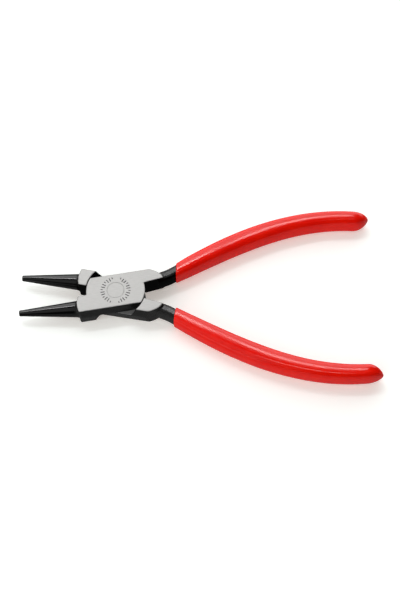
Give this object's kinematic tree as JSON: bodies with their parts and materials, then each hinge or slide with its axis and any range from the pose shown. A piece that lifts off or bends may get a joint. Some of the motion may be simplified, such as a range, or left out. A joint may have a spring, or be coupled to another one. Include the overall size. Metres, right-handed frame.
{
  "type": "round nose pliers",
  "caption": "Hand pliers with a riveted lap joint, smooth round tapered jaws for bending wire loops, and slim bowed handles with glossy dip-coated grips.",
  "frame": {"origin": "on the pivot axis, in the plane of the back ground face", "axes": "+X from the pivot towards the handle ends, +Y towards the front half's handle, +Z out of the front ground face"},
  "size_m": [0.1541, 0.0822, 0.01],
  "materials": {
    "forged_steel": "black oxide on the forged flanks, cones and tangs; the two head faces are ground bright",
    "ground_steel": "finely ground, satin",
    "grip_coat": "glossy dip coat"
  },
  "bodies": {
    "front": {"front_half": "forged_steel", "front_grip": "grip_coat", "rivet": "ground_steel"},
    "back": {"back_half": "forged_steel", "back_grip": "grip_coat"}
  },
  "joints": [
    {"name": "jaw_hinge", "type": "hinge", "parent": "front", "child": "back", "pos_m": [0, 0, 0.005], "axis": [0, 0, 1], "range_deg": [-40, 20]}
  ]
}
